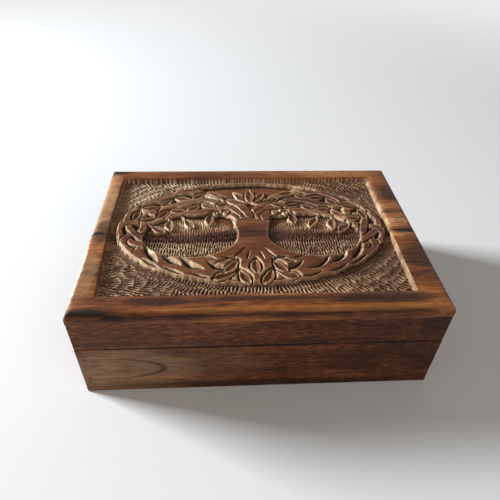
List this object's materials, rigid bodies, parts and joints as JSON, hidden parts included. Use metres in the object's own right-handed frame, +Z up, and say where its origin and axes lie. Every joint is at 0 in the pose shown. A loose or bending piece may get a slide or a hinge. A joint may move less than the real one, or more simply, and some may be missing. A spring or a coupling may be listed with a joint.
{
  "type": "hinged wooden box",
  "caption": "Rectangular wooden box with a hinged lid whose top is carved in relief with a spreading tree in a sunk field.",
  "frame": {"origin": "middle of the underside, in the plane the box stands on", "axes": "+X along the box to the right as seen from the front, +Y to the back where the hinges are, +Z up"},
  "size_m": [0.254, 0.178, 0.083],
  "materials": {
    "carved_wood": "scorched and waxed hardwood, carved, satin",
    "frame_wood": "dark scorched hardwood, satin",
    "hinge_brass": "dull aged brass",
    "pin_steel": "dark oxidised steel"
  },
  "bodies": {
    "body": {"bottom_board": "frame_wood", "body_front_wall": "frame_wood", "body_back_wall": "frame_wood", "body_left_wall": "frame_wood", "body_right_wall": "frame_wood", "body_pin_front_left_low": "pin_steel", "body_pin_front_left_high": "pin_steel", "body_pin_front_right_low": "pin_steel", "body_pin_front_right_high": "pin_steel", "body_pin_back_left_low": "pin_steel", "body_pin_back_left_high": "pin_steel", "body_pin_back_right_low": "pin_steel", "body_pin_back_right_high": "pin_steel", "base_pin_front_left": "pin_steel", "base_pin_front_right": "pin_steel", "base_pin_back_left": "pin_steel", "base_pin_back_right": "pin_steel", "base_pin_left": "pin_steel", "base_pin_right": "pin_steel", "hinge_left_body_leaf": "hinge_brass", "hinge_left_pin": "hinge_brass", "hinge_left_body_screw_left": "hinge_brass", "hinge_left_body_screw_right": "hinge_brass", "hinge_right_body_leaf": "hinge_brass", "hinge_right_pin": "hinge_brass", "hinge_right_body_screw_left": "hinge_brass", "hinge_right_body_screw_right": "hinge_brass"},
    "lid": {"lid_front_rail": "frame_wood", "lid_back_rail": "frame_wood", "lid_left_rail": "frame_wood", "lid_right_rail": "frame_wood", "lid_front_plank": "carved_wood", "lid_rear_plank": "carved_wood", "lid_pin_front_left": "pin_steel", "lid_pin_front_right": "pin_steel", "lid_pin_back_left": "pin_steel", "lid_pin_back_right": "pin_steel", "hinge_left_lid_leaf": "hinge_brass", "hinge_left_lid_screw_left": "hinge_brass", "hinge_left_lid_screw_right": "hinge_brass", "hinge_right_lid_leaf": "hinge_brass", "hinge_right_lid_screw_left": "hinge_brass", "hinge_right_lid_screw_right": "hinge_brass"}
  },
  "joints": [
    {"name": "lid_hinge", "type": "hinge", "parent": "body", "child": "lid", "pos_m": [0, 0.087, 0.04815], "axis": [-1, 0, 0], "range_deg": [0, 100]}
  ]
}
